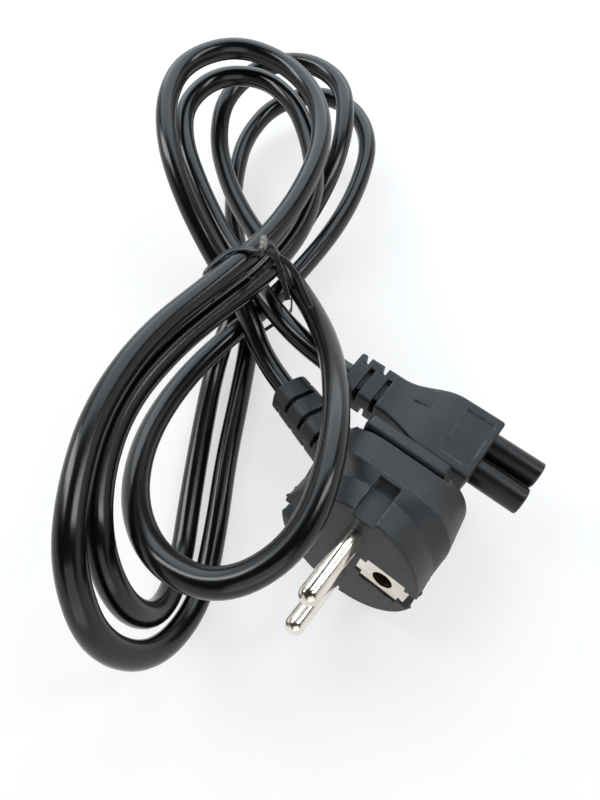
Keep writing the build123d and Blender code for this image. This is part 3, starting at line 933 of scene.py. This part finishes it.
@dataclass
class TwistTie:
    """The ribbon tie round the hank, in millimetres: its loop, its twisted knot and three short ends."""

    width: float = 1.45
    thick: float = 0.62
    turn: float = 37.9
    line_steps: int = 6
    loop: tuple[Point, ...] = (
        (-66.2, 24.3, 4.3), (-64.9, 25.3, 1.9), (-62.5, 27.2, 0.6), (-57.8, 30.9, 0.6),
        (-56.3, 32.0, 1.5), (-51.5, 35.7, 8.2), (-49.6, 37.2, 11.6), (-49.2, 37.5, 15.4),
        (-49.2, 37.5, 24.0), (-49.7, 37.1, 29.5), (-51.1, 36.1, 35.0), (-52.6, 34.8, 40.2),
        (-53.4, 33.5, 42.6), (-53.5, 29.7, 42.8), (-56.7, 28.3, 42.4), (-59.5, 25.7, 41.9),
        (-60.4, 20.9, 41.4), (-60.9, 17.3, 40.2), (-61.4, 16.9, 37.5), (-63.5, 19.3, 31.0),
        (-65.9, 22.4, 23.0), (-66.5, 22.8, 14.0), (-67.2, 23.5, 8.0),
    )
    ends: tuple[tuple[Point, ...], ...] = (
        (
            (-51.5, 31.4, 44.2), (-50.4, 31.6, 44.0), (-48.3, 30.6, 43.4), (-46.5, 29.5, 42.3),
            (-44.6, 28.3, 41.0), (-42.3, 26.6, 39.4), (-40.1, 25.0, 37.8),
        ), (
            (-50.6, 31.1, 43.2), (-48.3, 31.0, 43.0), (-46.2, 31.2, 42.8), (-44.2, 31.0, 42.2),
            (-41.7, 30.4, 41.2), (-38.2, 28.7, 39.6), (-34.1, 26.8, 37.6),
        ), (
            (-51.3, 31.0, 42.4), (-50.5, 32.3, 39.6), (-51.8, 32.4, 36.6), (-52.9, 30.7, 35.0),
            (-53.1, 28.0, 34.6), (-53.8, 26.3, 34.0), (-55.7, 25.9, 33.4),
        ),
    )
    # The point that the short ends turn their flat side to
    ends_face: Point = (15.5, -41.5, 152.3)
    knot: Point = (-53.2, 31.6, 43.9)
    knot_length: float = 4.0
    knot_radius: float = 0.66
    knot_turns: float = 0.9
    knot_strands: int = 3
    knot_steps: int = 40
    knot_width: float = 0.72
    knot_thick: float = 1.1
    knot_taper: float = 0.45

    def way(self) -> Vector:
        """Which way the loop's ribbon has its width, level and towards the plug."""
        turn = math.radians(self.turn)
        return Vector((math.sin(turn), -math.cos(turn), 0.0))

    def ribbon(self, rack: FinishRack) -> Object:
        """Builds the loop and the three short ends that come out of the knot.

        Args:
            rack: where the finish comes from.

        Returns:
            The ribbon's object.
        """
        ribbon = Ribbon(self.width, self.thick)
        line = smooth_line([Vector(c) for c in self.loop], self.line_steps, closed=True)
        ribbon.sweep(line, [self.way()] * len(line), closed=True)
        for corners in self.ends:
            line = smooth_line([Vector(c) for c in corners], self.line_steps)
            last = len(line) - 1
            widths = []
            for index, place in enumerate(line):
                along = line[min(index + 1, last)] - line[max(index - 1, 0)]
                widths.append(along.cross(Vector(self.ends_face) - place))
            ribbon.sweep(line, widths)
        return ribbon.finish("tie_ribbon", rack.get(Finish.TIE))

    def twist(self, rack: FinishRack) -> Object:
        """Builds the knot: the ribbon's ends twisted round each other.

        Args:
            rack: where the finish comes from.

        Returns:
            The knot's object.
        """
        knot = Ribbon(self.width * self.knot_width, self.thick * self.knot_thick)
        axis = self.way()
        upward = Vector((0.0, 0.0, 1.0))
        side = axis.cross(upward).normalized()
        for strand in range(self.knot_strands):
            line, widths = [], []
            for step in range(self.knot_steps + 1):
                share = step / self.knot_steps
                angle = 2 * math.pi * (strand / self.knot_strands + self.knot_turns * share)
                out = side * math.cos(angle) + upward * math.sin(angle)
                reach = self.knot_radius * (1.0 - self.knot_taper * abs(2 * share - 1) ** 3)
                line.append(Vector(self.knot) + axis * (share - 0.5) * self.knot_length + out * reach)
                widths.append(side * -math.sin(angle) + upward * math.cos(angle))
            knot.sweep(line, widths)
        # Its pale finish is painted sheen, standing for the highlights on the twisted ribbon
        return knot.finish("tie_knot", rack.get(Finish.TIE_SHEEN))

    def build(self, rack: FinishRack) -> list[Object]:
        """Builds the tie.

        Args:
            rack: where the tie's finishes come from.

        Returns:
            The tie's objects.
        """
        pieces = [self.ribbon(rack), self.twist(rack)]
        for piece in pieces:
            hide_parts("twist_tie")
            Finish.TIE.slot()
        return pieces


@dataclass(frozen=True)
class Lamp:
    """One soft lamp, aimed at a point."""

    name: str
    place: Point
    aim: Point
    wide: float
    high: float
    watts: float
    colour: Colour

    def build(self) -> Object:
        """Hangs the lamp.

        Returns:
            The lamp's object.
        """
        light = bpy.data.lights.new(self.name, "AREA")
        light.shape = "RECTANGLE"
        light.size = self.wide
        light.size_y = self.high
        light.energy = self.watts
        light.color = self.colour
        lamp = link_new(self.name, light)
        lamp.location = self.place
        way = Vector(self.aim) - Vector(self.place)
        lamp.rotation_euler = way.to_track_quat("-Z", "Y").to_euler()
        return lamp


@dataclass(frozen=True)
class Viewpoint:
    """Where the camera stands and how wide it sees."""

    place: Point = (0.0155, -0.0415, 0.1523)
    tilt: float = 27.0
    heading: float = 37.9
    lens: float = 16.8
    sensor: float = 24.0
    near: float = 0.005

    def build(self) -> Object:
        """Sets up the camera.

        Returns:
            The camera's object.
        """
        eye = bpy.data.cameras.new("camera")
        eye.sensor_fit = "VERTICAL"
        eye.sensor_height = self.sensor
        eye.lens = self.lens
        eye.clip_start = self.near
        camera = link_new("camera", eye)
        camera.location = self.place
        camera.rotation_euler = (math.radians(self.tilt), 0.0, math.radians(self.heading))
        bpy.context.scene.camera = camera
        return camera


@dataclass
class Studio:
    """Pale floor, plain surroundings and soft lamps."""

    floor_reach: float = 1.6
    floor_rings: int = 6
    floor_sides: int = 48
    floor_spread: float = 1.6
    floor_colour: Colour = (0.93, 0.93, 0.94)
    floor_glow: float = 0.62
    low_sky: float = 0.88
    high_sky: float = 0.03
    sky_fade: Span = (0.25, 0.60)
    lamps: tuple[Lamp, ...] = (
        Lamp("window_lamp", place=(-0.49, 0.60, 0.61), aim=(-0.04, 0.02, 0.0),
             wide=1.3, high=0.9, watts=9.4, colour=(0.84, 0.93, 1.0)),
        Lamp("left_lamp", place=(-0.60, -0.14, 0.62), aim=(-0.04, 0.02, 0.0),
             wide=0.20, high=0.6, watts=3.3, colour=(0.95, 0.98, 1.0)),
        Lamp("right_lamp", place=(0.30, 0.42, 0.66), aim=(-0.04, 0.02, 0.0),
             wide=0.14, high=0.5, watts=1.9, colour=(0.95, 0.98, 1.0)),
        Lamp("front_lamp", place=(0.42, -0.40, 0.42), aim=(-0.02, 0.0, 0.0),
             wide=0.7, high=0.6, watts=1.7, colour=(0.92, 0.96, 1.0)),
    )

    def white_floor(self) -> Material:
        """Makes the floor's material: white where it is seen or mirrored, matt for the light on it.

        Returns:
            The material.
        """
        board = NodeBoard("floor_white")
        path = board.add("LightPath")
        seen = board.combine("MAXIMUM", path.outputs["Is Camera Ray"], path.outputs["Is Glossy Ray"])
        seen = board.combine("MAXIMUM", seen, path.outputs["Is Transmission Ray"])
        share = board.combine("MULTIPLY", seen, self.floor_glow)
        matt = board.add("BsdfDiffuse", {"Color": (*self.floor_colour, 1.0)})
        glow = board.add("Emission", {"Color": WHITE, "Strength": 1.0})
        mixed = board.add("MixShader", {"0": share, "1": matt.outputs[0], "2": glow.outputs[0]})
        board.tree.links.new(mixed.outputs[0], board.output.inputs["Surface"])
        return board.material

    def floor(self) -> Object:
        """Builds the floor, which shows white and keeps shadows.

        Returns:
            The floor's object.
        """
        rings, sides = self.floor_rings, self.floor_sides
        points: list[Point] = [(0.0, 0.0, 0.0)]
        for ring in range(1, rings + 1):
            reach = self.floor_reach * (ring / rings) ** self.floor_spread
            for side in range(sides):
                angle = 2 * math.pi * side / sides
                points.append((reach * math.cos(angle), reach * math.sin(angle), 0.0))
        faces = [(0, 1 + side, 1 + (side + 1) % sides) for side in range(sides)]
        for ring in range(rings - 1):
            base, above = 1 + ring * sides, 1 + (ring + 1) * sides
            for side in range(sides):
                after = (side + 1) % sides
                faces.append((base + side, above + side, above + after, base + after))
        mesh = bpy.data.meshes.new("floor")
        mesh.from_pydata(points, [], faces)
        mesh.materials.append(self.white_floor())
        floor = link_new("floor", mesh)
        return floor

    def surroundings(self) -> None:
        """Gives the world a white band all round and a dim top, which black plastic mirrors."""
        world = bpy.data.worlds.new("surroundings")
        bpy.context.scene.world = world
        world.use_nodes = True
        nodes, links = world.node_tree.nodes, world.node_tree.links
        nodes.clear()
        out = nodes.new("ShaderNodeOutputWorld")
        light = nodes.new("ShaderNodeBackground")
        light.inputs["Color"].default_value = WHITE
        where = nodes.new("ShaderNodeTexCoord")
        parts = nodes.new("ShaderNodeSeparateXYZ")
        fade = nodes.new("ShaderNodeMapRange")
        fade.interpolation_type = "SMOOTHSTEP"
        for name, value in zip(RANGE_SOCKETS, (*self.sky_fade, self.low_sky, self.high_sky)):
            fade.inputs[name].default_value = value
        links.new(where.outputs["Generated"], parts.inputs[0])
        links.new(parts.outputs["Z"], fade.inputs["Value"])
        links.new(fade.outputs["Result"], light.inputs["Strength"])
        links.new(light.outputs[0], out.inputs["Surface"])

    def build(self) -> None:
        """Builds floor, surroundings and lamps."""
        self.floor()
        self.surroundings()
        for lamp in self.lamps:
            lamp.build()
        bpy.context.scene.view_settings.view_transform = "Standard"
        log.info("studio: %d lamps", len(self.lamps))


def main() -> None:
    """Builds every piece in order, from the camera to the studio."""
    logging.basicConfig(level=logging.INFO, format="%(name)s: %(message)s")
    Viewpoint().build()
    rack = FinishRack()
    riders = Connector().build(rack)
    ties = TwistTie().build(rack)
    Cord().build(rack, riders + ties)
    Plug().build(rack)
    MouldingFlash().build(rack)
    Studio().build()


if __name__ == "__main__":
    main()
